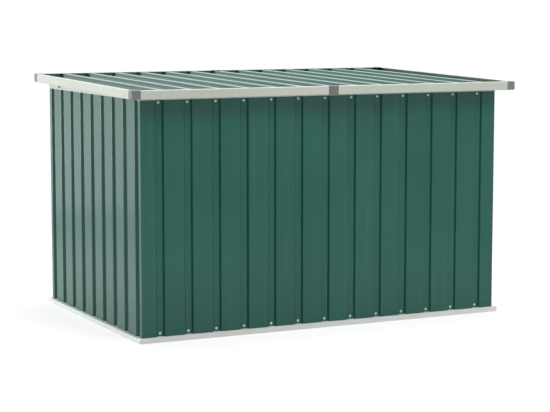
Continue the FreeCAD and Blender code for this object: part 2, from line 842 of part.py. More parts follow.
def put_on_strut(thing, hand):
    """Strut pieces are drawn from the pivot bolt towards -Y and tilted to the stud on the lid."""
    x = hand * (half_length - mm.strut_inset)
    put(thing, x, pivot_y, pivot_z, (1, 0, 0), f"-atan({strut_slope.text}) / 1 deg")


def eye(name, place, radius):
    half = mm.strut_eye_thickness / 2
    return rod_shape(name, "+X", -half, -place, ZERO, radius, mm.strut_eye_thickness)


def along_strut(name, start, end, radius):
    return rod_shape(name, "-Y", ZERO, -start, ZERO, radius, end - start)


def strut_cylinder(name, hand):
    label = f"strut_cylinder_{name}"
    raw = merge(
        f"{label}_raw",
        [
            eye(f"{label}_eye", ZERO, mm.strut_eye_radius),
            along_strut(f"{label}_tube", mm.strut_eye_radius / 2, tube_end, mm.tube_radius),
        ],
    )
    tools = [
        eye(f"{label}_pin_bore", ZERO, pin_bore),
        along_strut(f"{label}_cavity", cavity_start, tube_end - mm.tube_plug, tube_bore),
        along_strut(f"{label}_rod_bore", tube_end - 2 * mm.tube_plug, tube_end + mm.tube_plug, rod_bore),
    ]
    half = mm.strut_eye_thickness / 2
    radius = mm.tube_radius
    reach = 2 * cavity_start
    for cheek, x in (("left", -radius), ("right", half)):
        cheek_name = f"{label}_cheek_{cheek}"
        tools.append(block(cheek_name, x, -cavity_start, -radius, radius - half, reach, 2 * radius))
    put_on_strut(keep(cut_away(f"{label}_cut", raw, tools), label), hand)


def strut_rod(name, hand):
    """Piston, rod and the socket that faces the stud on the lid bracket."""
    label = f"strut_rod_{name}"
    solids = [
        along_strut(f"{label}_piston", piston_start, piston_end, tube_bore - mm.piston_gap),
        along_strut(f"{label}_shank", piston_start, strut_length - mm.rod_radius, mm.rod_radius),
        eye(f"{label}_socket", strut_length, mm.tube_radius),
    ]
    put_on_strut(keep(merge(f"{label}_merged", solids), label), hand)


def lid_bracket(name, hand):
    """A plate on the lid bar with a stud that ends just short of the strut's socket."""
    label = f"strut_lid_bracket_{name}"
    plate_far = mm.bar_inset - mm.bar_width / 2
    plate_near = plate_far - mm.bracket_thickness
    stud_end = eye_far + mm.strut_side_gap
    low = -mm.strut_hang - mm.bracket_margin
    front = stud_run - mm.bracket_length / 2
    x = across_wall(hand, plate_near, plate_far)
    height = pan_level - low - mm.sheet_thickness
    plate = block(f"{label}_plate", x, front, low, mm.bracket_thickness, mm.bracket_length, height)
    x = across_wall(hand, stud_end, plate_near)
    reach = plate_near - stud_end
    stud = rod_shape(f"{label}_stud", "+X", x, stud_run, -mm.strut_hang, mm.stud_radius, reach)
    put_on_lid(keep(merge(f"{label}_merged", [plate, stud]), label))


# Assembly

for side in SIDES:
    base_rail(side)
    wall_panels(side)
    top_rail(side)
    wall_screws(side)
for along, depth_sign in (("front", -1), ("back", 1)):
    for across, length_sign in HANDS.items():
        corner_post(f"{along}_{across}", length_sign, depth_sign)

for edge in ("front", "back"):
    mid_connector(edge)
    for name, hand in HANDS.items():
        long_lid_rail(edge, name, hand)
        corner_cap(edge, name, hand)
for name, hand in HANDS.items():
    side_lid_rail(name, hand)
    lid_bar(name, hand * bar_column, pan_level)
lid_bar("centre", lid_seam, pan_level - mm.sheet_thickness)
lid_sheets()

for name, place in hinge_places().items():
    wall_leaf(name, place)
    lid_leaf(name, place)
    hinge_pin(name, place)
hinge_rivets()

for name, hand in HANDS.items():
    pivot_bolt(name, hand)
    pivot_bush(name, hand)
    strut_cylinder(name, hand)
    strut_rod(name, hand)
    lid_bracket(name, hand)

doc.recompute()

# Nothing is written unless every object computed, every cut removed material and every piece is sound

for thing in doc.Objects:
    if "Invalid" in thing.State or "Error" in thing.State:
        raise RuntimeError(f"{thing.Name} failed: {thing.State}")
    if thing.TypeId == "PartDesign::Pocket" and thing.Shape.Volume >= thing.BaseFeature.Shape.Volume:
        raise RuntimeError(f"{thing.Name} cuts nothing")
for piece in pieces:
    if piece.Shape.isNull() or not piece.Shape.isValid():
        raise RuntimeError(f"{piece.Label} has no sound shape")

os.makedirs("parts", exist_ok=True)
for piece in pieces:
    piece.Shape.exportStep(f"parts/{piece.Label}.step")
print(f"{len(pieces)} pieces, {sum(len(piece.Shape.Solids) for piece in pieces)} solids")
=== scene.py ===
# %% [markdown]
# # A garden storage box of ribbed steel sheet
#
# The box has four walls of ribbed, painted sheet, pale folded rails round its foot and its rim, and a lid
# of the same sheet that is hinged at the back and held by two gas struts. The solids already give every
# size and joint. This lesson dresses them: folded sheet gets rounded bends, mouldings get soft edges,
# fasteners get domes and recesses, and every surface gets a finish made of nodes. Pieces could be fitted
# afterwards, but here the frame is loaded first, and each piece is modelled where its solid is.

# %% Load the frame
import json
import math
from collections import namedtuple

import bmesh
import bpy
from mathutils import Matrix, Vector


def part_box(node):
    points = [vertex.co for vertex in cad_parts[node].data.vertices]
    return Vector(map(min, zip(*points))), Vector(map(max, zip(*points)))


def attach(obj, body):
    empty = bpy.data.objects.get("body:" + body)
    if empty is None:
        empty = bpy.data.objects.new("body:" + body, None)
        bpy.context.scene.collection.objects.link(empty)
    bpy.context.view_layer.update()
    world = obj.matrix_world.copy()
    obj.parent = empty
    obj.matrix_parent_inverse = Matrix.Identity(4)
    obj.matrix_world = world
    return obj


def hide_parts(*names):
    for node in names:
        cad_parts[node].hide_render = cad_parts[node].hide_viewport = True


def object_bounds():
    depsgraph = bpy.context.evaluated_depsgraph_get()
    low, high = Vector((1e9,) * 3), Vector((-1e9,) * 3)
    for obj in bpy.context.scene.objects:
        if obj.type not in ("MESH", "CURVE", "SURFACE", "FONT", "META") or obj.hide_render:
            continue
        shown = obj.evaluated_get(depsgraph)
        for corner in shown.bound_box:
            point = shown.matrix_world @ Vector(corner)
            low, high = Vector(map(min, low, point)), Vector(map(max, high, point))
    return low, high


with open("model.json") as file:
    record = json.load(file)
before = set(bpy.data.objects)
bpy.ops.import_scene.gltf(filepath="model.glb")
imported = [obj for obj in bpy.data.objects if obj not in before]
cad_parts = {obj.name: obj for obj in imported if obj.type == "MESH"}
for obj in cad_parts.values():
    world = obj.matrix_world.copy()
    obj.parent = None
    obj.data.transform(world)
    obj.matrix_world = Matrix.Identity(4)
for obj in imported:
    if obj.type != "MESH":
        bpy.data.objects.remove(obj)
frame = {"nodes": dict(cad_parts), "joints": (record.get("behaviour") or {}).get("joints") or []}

cad_low, cad_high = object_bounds()
nodes = frame["nodes"]
print("solids:", len(nodes), "box:", [round(high - low, 4) for low, high in zip(cad_low, cad_high)])

# %% [markdown]
# ## Working by hand, in code
#
# By hand one clicks on the piece to work on. In a script an operator acts on whatever is selected, and the
# loaded solids are selected to begin with. Meshes could be written point by point without any selection,
# but operators keep each step one that a reader can repeat with the mouse. So every step first clears the
# selection.

# %% Pick one piece
def clear_selection():
    """Leaves edit mode, if a piece is open, and deselects everything."""
    if bpy.context.object and bpy.context.object.mode == "EDIT":
        bpy.ops.object.mode_set(mode="OBJECT")
    bpy.ops.object.select_all(action="DESELECT")


def select_only(piece):
    clear_selection()
    piece.select_set(True)
    bpy.context.view_layer.objects.active = piece


loaded = len(bpy.context.selected_objects)
clear_selection()
print("selected after loading:", loaded, "now:", len(bpy.context.selected_objects))

# %% [markdown]
# Inside a piece, points are picked by place: a short test says which vertices to take, and the edges and
# faces between them come along. They could also be kept by number, but numbers change with every extrusion,
# and places don't.

# %% Pick points by place
MM = 0.001
NEAR = 0.02 * MM


def edit_new(name):
    """Names the primitive that was just added and opens it for editing with nothing selected."""
    piece = bpy.context.object
    piece.name = name
    piece.data.name = name
    bpy.ops.object.mode_set(mode="EDIT")
    bpy.ops.mesh.select_mode(type="VERT")
    bpy.ops.mesh.select_all(action="DESELECT")
    return piece


def reopen(piece):
    select_only(piece)
    bpy.ops.object.mode_set(mode="EDIT")
    bpy.ops.mesh.select_mode(type="VERT")


def pick(test):
    """Selects the vertices of the edited mesh that pass the test, and the edges and faces between them."""
    bpy.ops.mesh.select_all(action="DESELECT")
    data = bpy.context.object.data
    mesh = bmesh.from_edit_mesh(data)
    for vertex in mesh.verts:
        vertex.select = test(vertex.co)
    mesh.select_flush(True)
    bmesh.update_edit_mesh(data)


print("points count as one within", NEAR, "m")

# %% [markdown]
# ## Finishes
#
# No surface of the box is one flat colour. Pictures of paint and zinc could be wrapped round the pieces,
# but noise has no seams and stays sharp from close by. It reads Object coordinates, so that a pattern keeps
# still on its piece when the lid opens. These helpers add a node, lay a noise and bring its values into a
# wanted range.

# %% Noise
EVEN = (1, 1, 1)
MID_TONES = (0.3, 0.7)


def add_node(holder, kind, **settings):
    """Adds a node to a material or a world; a setting is a socket's value or a property of the node."""
    node = holder.node_tree.nodes.new(kind)
    for name, value in settings.items():
        if name in node.inputs:
            node.inputs[name].default_value = value
        else:
            setattr(node, name, value)
    return node


def noise_on(material, scale, detail, roughness=0.5, stretch=EVEN):
    """Noise in the piece's own space, stretched along its axes."""
    links = material.node_tree.links
    place = add_node(material, "ShaderNodeTexCoord")
    mapping = add_node(material, "ShaderNodeMapping", Scale=stretch)
    noise = add_node(material, "ShaderNodeTexNoise", Scale=scale, Detail=detail, Roughness=roughness)
    links.new(place.outputs["Object"], mapping.inputs["Vector"])
    links.new(mapping.outputs["Vector"], noise.inputs["Vector"])
    return noise.outputs["Fac"]


def remap(material, source, low, high, span=MID_TONES, curve="LINEAR"):
    node = add_node(material, "ShaderNodeMapRange", interpolation_type=curve)
    for name, value in zip(("From Min", "From Max", "To Min", "To Max"), (*span, low, high)):
        node.inputs[name].default_value = value
    material.node_tree.links.new(source, node.inputs["Value"])
    return node.outputs["Result"]


print("noise spans", MID_TONES, "before it is remapped")

# %% [markdown]
# A finish blends two colours by such a noise and roughens its surface with a bump. Real displacement would
# do that too, but the skin of paint and the grain of plastic are far finer than any mesh should be.

# %% Colour and bump
# A Mix node has sockets of one name for every kind of data; these are the numbers of the colour ones.
MIX_FIRST, MIX_SECOND, MIX_RESULT = 6, 7, 2


def blend_colours(material, factor, first, second):
    """Either colour is three numbers or another node's output."""
    node = add_node(material, "ShaderNodeMix", data_type="RGBA")
    links = material.node_tree.links
    links.new(factor, node.inputs[0])
    for number, colour in ((MIX_FIRST, first), (MIX_SECOND, second)):
        if isinstance(colour, tuple):
            node.inputs[number].default_value = (*colour, 1)
        else:
            links.new(colour, node.inputs[number])
    return node.outputs[MIX_RESULT]


def bump_from(material, shader, height, strength, distance):
    bump = add_node(material, "ShaderNodeBump", Strength=strength, Distance=distance)
    links = material.node_tree.links
    links.new(height, bump.inputs["Height"])
    links.new(bump.outputs["Normal"], shader.inputs["Normal"])


def new_finish(name):
    material = bpy.data.materials.new(name)
    material.use_nodes = True
    return material, material.node_tree.nodes["Principled BSDF"]


print("materials so far:", len(bpy.data.materials))

# %% [markdown]
# ### Painted steel
#
# Coil-coated steel drifts a little in tone from patch to patch, has a fine orange-peel skin, and dust and
# rain leave faint upright streaks on it. A painted picture could hold all that, but one recipe of noises
# serves the green sheet, the pale trim, the base rails, whose lighter copy of the trim's coat is painted
# light, and the black struts alike. Only its colours and gloss differ.

# %% Painted finishes
STREAKED = (26, 26, 0.7)
SMUDGED = (1, 1, 0.4)
DUST_SPAN = (0.52, 0.9)
DUST_MOST = 0.22
PEEL = 0.08
PEEL_DEPTH = 0.4 * MM
COAT_SPECULAR = 0.38


def painted(name, deep, pale, dust, gloss):
    """A coat that drifts between two tones, with upright dust streaks and a fine orange peel."""
    material, shader = new_finish(name)
    links = material.node_tree.links
    patches = remap(material, noise_on(material, scale=2.5, detail=3), 0, 1)
    tone = blend_colours(material, patches, deep, pale)
    streaks = noise_on(material, scale=1.6, detail=4, roughness=0.62, stretch=STREAKED)
    tone = blend_colours(material, remap(material, streaks, 0, DUST_MOST, DUST_SPAN), tone, dust)
    links.new(tone, shader.inputs["Base Color"])
    smudges = noise_on(material, scale=7, detail=4, stretch=SMUDGED)
    links.new(remap(material, smudges, *gloss), shader.inputs["Roughness"])
    bump_from(material, shader, noise_on(material, scale=420, detail=2), PEEL, PEEL_DEPTH)
    shader.inputs["Specular IOR Level"].default_value = COAT_SPECULAR
    return material


green_coat = painted(
    "green_coat", gloss=(0.10, 0.17),
    deep=(0.004, 0.092, 0.07), pale=(0.008, 0.112, 0.086), dust=(0.09, 0.18, 0.155),
)
pale_coat = painted(
    "pale_coat", gloss=(0.34, 0.46),
    deep=(0.505, 0.537, 0.478), pale=(0.56, 0.592, 0.535), dust=(0.35, 0.38, 0.32),
)
# A lighter copy of the trim's coat: painted light, so the base rails look brighter than the lamps make them.
painted_light_base_coat = painted(
    "painted_light_base_coat", gloss=(0.34, 0.46),
    deep=(0.75, 0.79, 0.76), pale=(0.81, 0.85, 0.82), dust=(0.54, 0.57, 0.52),
)
black_coat = painted(
    "black_coat", gloss=(0.28, 0.42),
    deep=(0.012, 0.012, 0.013), pale=(0.02, 0.02, 0.021), dust=(0.06, 0.06, 0.058),
)
print("painted finishes:", green_coat.name, pale_coat.name, painted_light_base_coat.name, black_coat.name)

# %% [markdown]
# ### Moulded plastic
#
# The lid's corners and connectors are grey plastic and the struts' bushes black, all with the spark-eroded
# grain of their moulds. Modelling the grain would take millions of faces, so a very fine noise goes into
# the bump, and two coarser ones vary tone and gloss.

# %% Plastic finishes
PLASTIC_GLOSS = (0.48, 0.62)
GRAIN_DEPTH = 0.15 * MM


def moulded(name, deep, pale, grain):
    material, shader = new_finish(name)
    links = material.node_tree.links
    clouds = remap(material, noise_on(material, scale=9, detail=4), 0, 1)
    links.new(blend_colours(material, clouds, deep, pale), shader.inputs["Base Color"])
    sheen = noise_on(material, scale=60, detail=3)
    links.new(remap(material, sheen, *PLASTIC_GLOSS), shader.inputs["Roughness"])
    bump_from(material, shader, noise_on(material, scale=1500, detail=2), grain, GRAIN_DEPTH)
    return material


grey_moulding = moulded("grey_moulding", deep=(0.15, 0.157, 0.157), pale=(0.195, 0.203, 0.203), grain=0.25)
black_moulding = moulded("black_moulding", deep=(0.014, 0.014, 0.014), pale=(0.03, 0.03, 0.031), grain=0.15)
print("plastic finishes:", grey_moulding.name, black_moulding.name)

# %% [markdown]
# ### Plated metal
#
# Screws and hinges are zinc plated and the struts' rods are ground and chromed. Anisotropic gloss could
# show the way of grinding, but a noise that is stretched along the piece does so too and also varies the
# tone. Left even, the same noise gives the clouds of plated screws.

# %% Plated finishes
ALONG_X = (0.12, 1, 1)
ALONG_Y = (1, 0.05, 1)
LINE_DEPTH = 0.1 * MM


def plated(name, deep, pale, gloss, stretch=EVEN, line=0.1):
    """A metal whose tone and gloss follow lines or clouds, set by how far the noise is stretched."""
    material, shader = new_finish(name)
    links = material.node_tree.links
    lines = noise_on(material, scale=160, detail=4, roughness=0.6, stretch=stretch)
    links.new(blend_colours(material, remap(material, lines, 0, 1), deep, pale), shader.inputs["Base Color"])
    sheen = noise_on(material, scale=45, detail=4, stretch=stretch)
    links.new(remap(material, sheen, *gloss), shader.inputs["Roughness"])
    bump_from(material, shader, lines, line, LINE_DEPTH)
    shader.inputs["Metallic"].default_value = 1
    return material


screw_zinc = plated("screw_zinc", deep=(0.45, 0.52, 0.5), pale=(0.61, 0.68, 0.655), gloss=(0.3, 0.5))
hinge_zinc = plated(
    "hinge_zinc", stretch=ALONG_X,
    deep=(0.5, 0.52, 0.53), pale=(0.68, 0.7, 0.7), gloss=(0.34, 0.52),
)
rod_chrome = plated(
    "rod_chrome", stretch=ALONG_Y, line=0.03,
    deep=(0.66, 0.67, 0.68), pale=(0.76, 0.77, 0.78), gloss=(0.08, 0.16),
)
print("plated finishes:", screw_zinc.name, hinge_zinc.name, rod_chrome.name)

# %% [markdown]
# ### Galvanised steel
#
# Posts, bars and the struts' brackets are dipped in zinc, which sets in flat crystals of about a finger
# nail's size. Plain noise would look like clouds, so the crystals are the cells of a Voronoi pattern. Each
# cell has a random colour, whose red sets the cell's grey and whose green sets its gloss. A slow noise then
# dulls some stretches.

# %% Galvanised finish
CELLS_PER_METRE = 75
WHOLE = (0, 1)
CELL_GLOSS = (0.36, 0.54)
CELL_EDGE = 0.06
CELL_DEPTH = 0.2 * MM
DULL_MOST = 0.5


def spangled(name, dark, light, dull):
    """Zinc crystals: flat cells with their own grey and their own gloss."""
    material, shader = new_finish(name)
    links = material.node_tree.links
    place = add_node(material, "ShaderNodeTexCoord")
    cells = add_node(material, "ShaderNodeTexVoronoi", Scale=CELLS_PER_METRE)
    links.new(place.outputs["Object"], cells.inputs["Vector"])
    split = add_node(material, "ShaderNodeSeparateColor")
    links.new(cells.outputs["Color"], split.inputs["Color"])
    tone = blend_colours(material, remap(material, split.outputs["Red"], 0, 1, WHOLE), dark, light)
    weathered = remap(material, noise_on(material, scale=4, detail=4), 0, DULL_MOST)
    links.new(blend_colours(material, weathered, tone, dull), shader.inputs["Base Color"])
    links.new(remap(material, split.outputs["Green"], *CELL_GLOSS, WHOLE), shader.inputs["Roughness"])
    bump_from(material, shader, cells.outputs["Distance"], CELL_EDGE, CELL_DEPTH)
    shader.inputs["Metallic"].default_value = 1
    return material


galvanised = spangled(
    "galvanised", dark=(0.44, 0.46, 0.47), light=(0.6, 0.615, 0.62), dull=(0.42, 0.43, 0.43),
)
print(galvanised.name, "nodes:", len(galvanised.node_tree.nodes))

# %% [markdown]
# ## Folding sheet
#
# Sheets, rails, posts and bars are all one thing on the real box: a flat strip, folded in a press or
# between rolls. A section drawn as a curve would also do, but extruding keeps every face a clean, long
# quad, as the real strip is. So a plane is added, its corners go to the first leg of the fold, and its free
# edge is extruded from bend to bend. The wall of the sheet always lies to the right of the way the path
# goes.

# %% A folded strip
def fold_strip(name, path, run):
    """Folds a strip along the path and runs it out along one direction."""
    points = [Vector(point) for point in path]
    run = Vector(run)
    clear_selection()
    bpy.ops.mesh.primitive_plane_add(size=1)
    strip = edit_new(name)
    first_leg = {
        (-0.5, -0.5): points[0],
        (0.5, -0.5): points[0] + run,
        (0.5, 0.5): points[1] + run,
        (-0.5, 0.5): points[1],
    }
    for corner, target in first_leg.items():
        start = Vector((*corner, 0))
        pick(lambda place: (place - start).length < NEAR)
        bpy.ops.transform.translate(value=target - start)
    free_edge = (points[1], points[1] + run)
    pick(lambda place: min((place - end).length for end in free_edge) < NEAR)
    for here, there in zip(points[1:], points[2:]):
        bpy.ops.mesh.extrude_edges_move(TRANSFORM_OT_translate={"value": there - here})
    bpy.ops.object.mode_set(mode="OBJECT")
    return strip


print("a strip starts as a plane one metre wide")

# %% [markdown]
# Folding leaves every bend round, and the sheet has a wall. Both could be modelled edge by edge, but a
# Bevel that takes all bends above a set angle, and a Solidify, do it for any section. Shading that is
# smooth all over would make flat steel look blown up, so it is smooth over the bends only, and weighted
# normals keep the flats flat.

# %% Bends, wall and shading
BEND_ANGLE = math.radians(25)
FOLD_SHADING = 35


def apply_new(piece, modifier):
    select_only(piece)
    bpy.ops.object.modifier_apply(modifier=modifier.name)


def round_bends(piece, radius, steps=3):
    bend = piece.modifiers.new("bends", "BEVEL")
    bend.width = radius
    bend.segments = steps
    bend.limit_method = "ANGLE"
    bend.angle_limit = BEND_ANGLE
    apply_new(piece, bend)


def thicken(piece, wall):
    shell = piece.modifiers.new("wall", "SOLIDIFY")
    shell.thickness = wall
    shell.offset = -1
    shell.use_even_offset = True
    apply_new(piece, shell)


def smooth(piece, degrees=FOLD_SHADING):
    """Rounds the shading over bends and keeps the flats flat."""
    select_only(piece)
    bpy.ops.object.shade_smooth_by_angle(angle=math.radians(degrees))
    flats = piece.modifiers.new("flats", "WEIGHTED_NORMAL")
    flats.keep_sharp = True
    flats.weight = 100
    apply_new(piece, flats)


print("bends above", round(math.degrees(BEND_ANGLE)), "degrees are rounded")

# %% [markdown]
# A finished piece sits at the origin, unturned and unscaled, with its place in its mesh, as the solids do.
# Leaving the place on the object would be quicker, but a noise on Object coordinates would then repeat on
# every copy. Dressing a piece gives it its finish, names the body it moves with and hides the solid it
# stands for.

# %% Placing and dressing
def put(piece, move):
    """Moves a piece by a matrix and writes the move into its mesh."""
    select_only(piece)
    piece.matrix_world = move
    bpy.ops.object.transform_apply(location=True, rotation=True, scale=True)
    return piece


def seat(piece, turn, place, tilt=0):
    """Turns the piece about z, tilts it about x and moves it to its place."""
    spin = Matrix.Rotation(tilt, 4, "X") @ Matrix.Rotation(turn, 4, "Z")
    put(piece, Matrix.Translation(place) @ spin)


def dress(piece, material, body, node):
    piece.data.materials.append(material)
    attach(piece, body)
    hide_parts(node)


# %% [markdown]
# ## The ribbed sheet
#
# Walls and lid are one roll-formed sheet: flats with a shallow trapezoid groove about every 104 mm. On the
# walls the grooves are sunk, and on the lid the sheet lies the other way up and shows ribs. Folding every
# groove by itself would give the same mesh in far more steps. So one pitch is folded, an Array repeats it,
# and the two end edges are then moved to where the panel really ends.

# %% One ribbed panel
PITCH = 104.3 * MM
GROOVE_DEPTH = 10 * MM
HALF_OPENING = 16 * MM
HALF_FLOOR = 11 * MM
BEND = 2.4 * MM


def ribbed_panel(name, first, count, ends, run, level, depth, widen=0):
    """Grooves lie along run; depth is a vector that leads from the flats to the groove floors."""
    def at(x, share):
        return Vector((x, 0, 0)) + Vector(level) + share * Vector(depth)

    last = first + (count - 1) * PITCH
    opening = HALF_OPENING + widen
    floor = HALF_FLOOR + widen
    path = [
        at(last + PITCH / 2, 0),
        at(last + opening, 0),
        at(last + floor, 1),
        at(last - floor, 1),
        at(last - opening, 0),
        at(last - PITCH / 2, 0),
    ]
    panel = fold_strip(name, path, run)
    row = panel.modifiers.new("row", "ARRAY")
    row.count = count
    row.use_relative_offset = False
    row.use_constant_offset = True
    row.constant_offset_displace = (-PITCH, 0, 0)
    row.use_merge_vertices = True
    row.merge_threshold = NEAR
    apply_new(panel, row)
    reopen(panel)
    for end, now in zip(ends, (first - PITCH / 2, last + PITCH / 2)):
        pick(lambda place: abs(place.x - now) < NEAR)
        bpy.ops.transform.translate(value=(end - now, 0, 0))
    round_bends(panel, BEND)
    return panel


print("sheet: pitch", PITCH, "groove depth", GROOVE_DEPTH)

# %% [markdown]
# Where two panels meet, one is joggled: its edge is stepped back by a sheet's thickness and runs on behind
# its neighbour, so that the faces stay level and rain runs off. Two plain flats could overlap, but one
# would stand proud. The seam edge is extruded twice, into a short slant and a flat tongue. On the lid the
# tongue lies only between the walls, clear of their rails, so the flat beside the seam is first cut across
# there.

# %% A lap joint
SHEET = 0.8 * MM
FIT = 0.2 * MM
LAP = 25 * MM
JOG = 0.9 * MM
STEP_BACK = SHEET + FIT / 2


def joggle(panel, seam, inwards, stretch=None):
    """Steps the seam edge behind its neighbour, along all of it or along a stretch from y to y."""
    start, end = stretch or (-math.inf, math.inf)
    reopen(panel)
    if stretch:
        for cut in (start - JOG, start, end, end + JOG):
            pick(lambda place: place.x < seam + PITCH / 2 - HALF_OPENING)
            bpy.ops.mesh.bisect(plane_co=(0, cut, 0), plane_no=(0, 1, 0))
    pick(lambda place: abs(place.x - seam) < NEAR and start - NEAR < place.y < end + NEAR)
    bpy.ops.transform.translate(value=(JOG, 0, 0))
    slant = Vector((-JOG, 0, 0)) + STEP_BACK * Vector(inwards)
    for move in (slant, Vector((-LAP, 0, 0))):
        bpy.ops.mesh.extrude_edges_move(TRANSFORM_OT_translate={"value": move})
    bpy.ops.object.mode_set(mode="OBJECT")


print("a lap steps back by", round(STEP_BACK, 5), "m")

# %% [markdown]
# ## The walls
#
# The long walls have two panels that lap between the eighth and the ninth groove, the short walls have one.
# Each could be modelled where it stands, but one that faces the front is easier to picture. So every wall
# is modelled facing the front and then turned to its own side.

# %% Sizes of the walls
Wall = namedtuple("Wall", "turn place half grooves")
LONG_GROOVES = 13
SHORT_GROOVES = 9
front_low, front_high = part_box("front_panel_wide")
back_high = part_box("back_panel_wide")[1]
HALF_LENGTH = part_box("side_panel_right")[1].x
HALF_DEPTH = (back_high.y - front_low.y) / 2
WALL_CENTRE = (back_high.y + front_low.y) / 2
WALL_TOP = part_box("top_rail_front")[1].z
BASE_TOP = front_low.z
WALLS = {
    "front": Wall(0, (0, front_low.y, 0), HALF_LENGTH, LONG_GROOVES),
    "right": Wall(math.pi / 2, (HALF_LENGTH, WALL_CENTRE, 0), HALF_DEPTH, SHORT_GROOVES),
    "back": Wall(math.pi, (0, back_high.y, 0), HALF_LENGTH, LONG_GROOVES),
    "left": Wall(-math.pi / 2, (-HALF_LENGTH, WALL_CENTRE, 0), HALF_DEPTH, SHORT_GROOVES),
}
print("walls:", round(2 * HALF_LENGTH, 4), "by", round(2 * HALF_DEPTH, 4), "top at", round(WALL_TOP, 4))

# %% [markdown]
# A wall panel stands on the base rail and reaches up into the top rail. It is folded facing the front,
# joggled if its edge goes behind a neighbour, given its wall and turned. Cutting one long sheet in two
# would save a fold, but the lap needs an edge of its own.

# %% Wall panels
WIDE_GROOVES = 8
PANEL_RUN = (0, 0, front_high.z - front_low.z)


def wall_panel(name, node, side, first, count, ends, seam=None):
    wall = WALLS[side]
    level = (0, 0, BASE_TOP)
    panel = ribbed_panel(name, first, count, ends, PANEL_RUN, level, (0, GROOVE_DEPTH, 0))
    if seam is not None:
        joggle(panel, seam, (0, 1, 0))
    thicken(panel, SHEET)
    seat(panel, wall.turn, wall.place)
    smooth(panel)
    dress(panel, green_coat, "box", node)
    print(name, len(panel.data.polygons), "faces")


for side, wall in WALLS.items():
    first = -(wall.grooves - 1) * PITCH / 2
    if wall.grooves == LONG_GROOVES:
        seam = first + (WIDE_GROOVES - 0.5) * PITCH
        after = first + WIDE_GROOVES * PITCH
        rest = LONG_GROOVES - WIDE_GROOVES
        ends = (-wall.half, seam - FIT)
        wall_panel(f"sheet_{side}_wide", f"{side}_panel_wide", side, first, WIDE_GROOVES, ends)
        wall_panel(f"sheet_{side}_narrow", f"{side}_panel_narrow", side, after, rest, (seam, wall.half), seam)
    else:
        end = wall.half - SHEET - FIT
        wall_panel(f"sheet_{side}", f"side_panel_{side}", side, first, wall.grooves, (-end, end))

# %% [markdown]
# ## The lid
#
# The lid, a frame of rails round two ribbed sheets, slopes by just over a degree, so that rain runs off its
# front. Its pieces could be modelled on the slope, but level ones stay in line with the axes. So all of
# them are modelled level, with the front edge at y = 0, and tilted when they are seated. The seat follows
# from the walls' top.

# %% Sizes of the lid
LID_LENGTH = cad_high[0] - cad_low[0]
LID_DEPTH = 990 * MM
LID_HEIGHT = 30 * MM
LID_TILT = math.radians(1.1)
LID_GAP = 0.5 * MM
FRONT_OVERHANG = 56 * MM
CAP_PROUD = 0.5 * MM
RAIL = 1.2 * MM
PAN = LID_HEIGHT - RAIL - FIT - GROOVE_DEPTH - SHEET
LID_SEAT = (
    0,
    ((LID_HEIGHT + CAP_PROUD) * math.sin(LID_TILT) - LID_DEPTH * math.cos(LID_TILT)) / 2,
    WALL_TOP + LID_GAP - FRONT_OVERHANG * math.sin(LID_TILT) - PAN * math.cos(LID_TILT),
)
print("lid seat:", [round(value, 4) for value in LID_SEAT], "pan level:", round(PAN, 4))

# %% [markdown]
# ### The lid sheets
#
# Two ribbed sheets make the roof, lapped left of the middle, with ribs that run from front to back. They
# could be wall panels laid flat, but here the ribs stand up. The fold then follows the outer face of the
# ribs, which is a little wider than the inner one. The lap's tongue keeps clear of the walls, as the bars
# under the lid do.

# %% Lid sheets
LID_RIBS = 13
LEFT_RIBS = LID_RIBS // 2
CAP_WALL = 2 * MM
FLANGE_NEAR = GROOVE_DEPTH + SHEET + FIT
FLANGE_FAR = FLANGE_NEAR + RAIL
BAR_CLEAR = FLANGE_FAR + 15 * MM
BAR_START = FRONT_OVERHANG + BAR_CLEAR
BAR_END = FRONT_OVERHANG + 2 * HALF_DEPTH - BAR_CLEAR
FLANK = math.hypot(HALF_OPENING - HALF_FLOOR, GROOVE_DEPTH)
OUTER_SHIFT = SHEET * (FLANK - HALF_OPENING + HALF_FLOOR) / GROOVE_DEPTH


def lid_sheet(side, first, count, ends, seam=None):
    inset = CAP_WALL + FIT
    run = (0, LID_DEPTH - 2 * inset, 0)
    level = (0, inset, PAN + SHEET)
    rise = (0, 0, GROOVE_DEPTH)
    panel = ribbed_panel(f"roof_sheet_{side}", first, count, ends, run, level, rise, OUTER_SHIFT)
    if seam is not None:
        joggle(panel, seam, (0, 0, -1), (BAR_START, BAR_END))
    thicken(panel, SHEET)
    seat(panel, 0, LID_SEAT, LID_TILT)
    smooth(panel)
    dress(panel, green_coat, "lid", f"lid_sheet_{side}")
    print(panel.name, len(panel.data.polygons), "faces")


first = -(LID_RIBS - 1) * PITCH / 2
seam = first + (LEFT_RIBS - 0.5) * PITCH
after = first + LEFT_RIBS * PITCH
lid_end = LID_LENGTH / 2 - CAP_WALL - FIT
lid_sheet("left", first, LEFT_RIBS, (-lid_end, seam - FIT))
lid_sheet("right", after, LID_RIBS - LEFT_RIBS, (seam, lid_end), seam)

# %% [markdown]
# ## The rails
#
# Rails hold the sheet together at the foot, at the rim and round the lid. Each is a folded strip too. Round
# the walls they meet in mitres, and on the lid they end square, beside the caps. A mitre's slant could be
# drawn into the ends, but it is simpler to fold the rail too long and to cut it at half a right angle with
# a bisect, which also closes the cut.

# %% A folded rail
RAIL_BEND = 1.6 * MM
SPARE = 20 * MM


def folded_rail(name, section, half, wall, bend=RAIL_BEND, mitred=True):
    """The section is a list of (inwards, up) points; the rail runs to half on both sides of its middle."""
    reach = half + (SPARE if mitred else 0)
    path = [(-reach, inwards, up) for inwards, up in section]
    rail = fold_strip(name, path, (2 * reach, 0, 0))
    round_bends(rail, bend)
    thicken(rail, wall)
    if mitred:
        reopen(rail)
        for hand in (-1, 1):
            corner = (hand * (half - FIT / 2), 0, 0)
            bpy.ops.mesh.select_all(action="SELECT")
            bpy.ops.mesh.bisect(plane_co=corner, plane_no=(hand, 1, 0), use_fill=True, clear_outer=True)
        bpy.ops.object.mode_set(mode="OBJECT")
    return rail


print("rails are", RAIL, "m thick")
